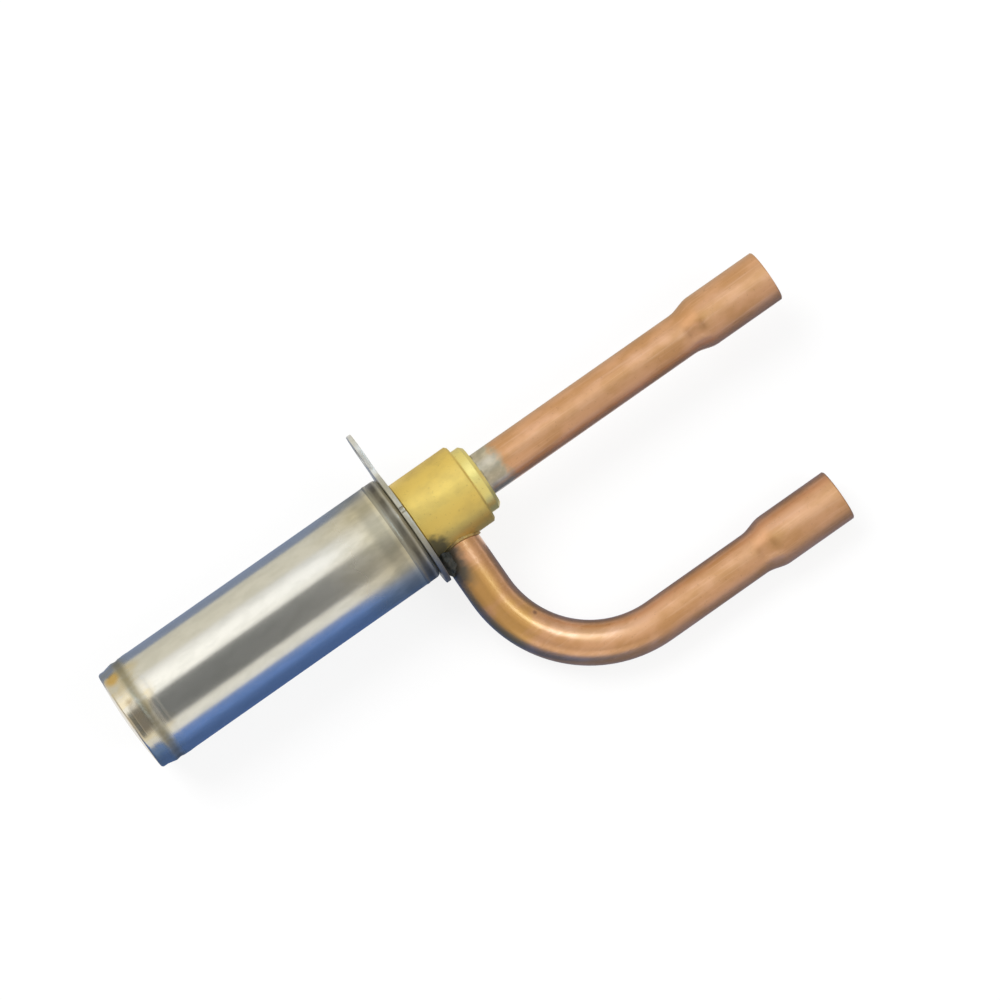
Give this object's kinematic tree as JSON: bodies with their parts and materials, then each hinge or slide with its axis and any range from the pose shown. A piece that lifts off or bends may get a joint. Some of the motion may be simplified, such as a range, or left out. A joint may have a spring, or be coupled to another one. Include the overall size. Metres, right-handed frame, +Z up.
{
  "type": "electronic expansion valve",
  "caption": "Bare electronic expansion valve: steel can with a magnet rotor and screw-lifted needle, coil bracket, brass body, straight outlet tube and bent inlet tube with swaged sockets.",
  "frame": {"origin": "on the valve's axis, in the weld between the can and its base ring, where the coil seat begins", "axes": "+X along the valve's axis from the can towards the tubes, +Y towards the bracket's tab, +Z up, with the valve lying on its bracket's rim and the bent inlet tube down on the same surface"},
  "size_m": [0.1069, 0.0488, 0.0188],
  "materials": {
    "body_brass": "satin turned brass",
    "tube_copper": "drawn copper with golden heat stains",
    "braze": "dull silver braze",
    "bracket_steel": "bright punched sheet",
    "can_steel": "bright drawn stainless with weld tint at its end",
    "needle_steel": "ground",
    "spring_steel": "drawn wire",
    "stop_plastic": "moulded",
    "slip_washer": "smooth",
    "magnet": "bonded magnet, fine grain"
  },
  "bodies": {
    "valve": {"valve_body": "body_brass", "outlet_tube": "tube_copper", "inlet_tube": "tube_copper", "outlet_braze": "braze", "inlet_braze": "braze", "coil_bracket": "bracket_steel", "base_ring": "can_steel", "can_tube": "can_steel", "end_plug": "can_steel", "guide_bush": "body_brass", "fixed_stop": "stop_plastic"},
    "needle": {"valve_needle": "needle_steel", "closing_spring": "spring_steel", "spring_washer": "slip_washer", "thrust_washer": "slip_washer", "push_nut": "body_brass"},
    "rotor": {"shaft_holder": "body_brass", "moving_stop": "stop_plastic", "support_ring": "body_brass", "rotor_magnet": "magnet", "return_spring": "spring_steel"}
  },
  "joints": [
    {"name": "needle_lift", "type": "slide", "parent": "valve", "child": "needle", "axis": [-1, 0, 0], "range_m": [0, 0.003]},
    {"name": "rotor_spin", "type": "hinge", "parent": "needle", "child": "rotor", "pos_m": [0, 0, 0], "axis": [-1, 0, 0], "range_deg": [0, 1800]}
  ],
  "couplings": [
    {"joint": "rotor_spin", "follows": "needle_lift", "rad_per_m": 10472}
  ]
}
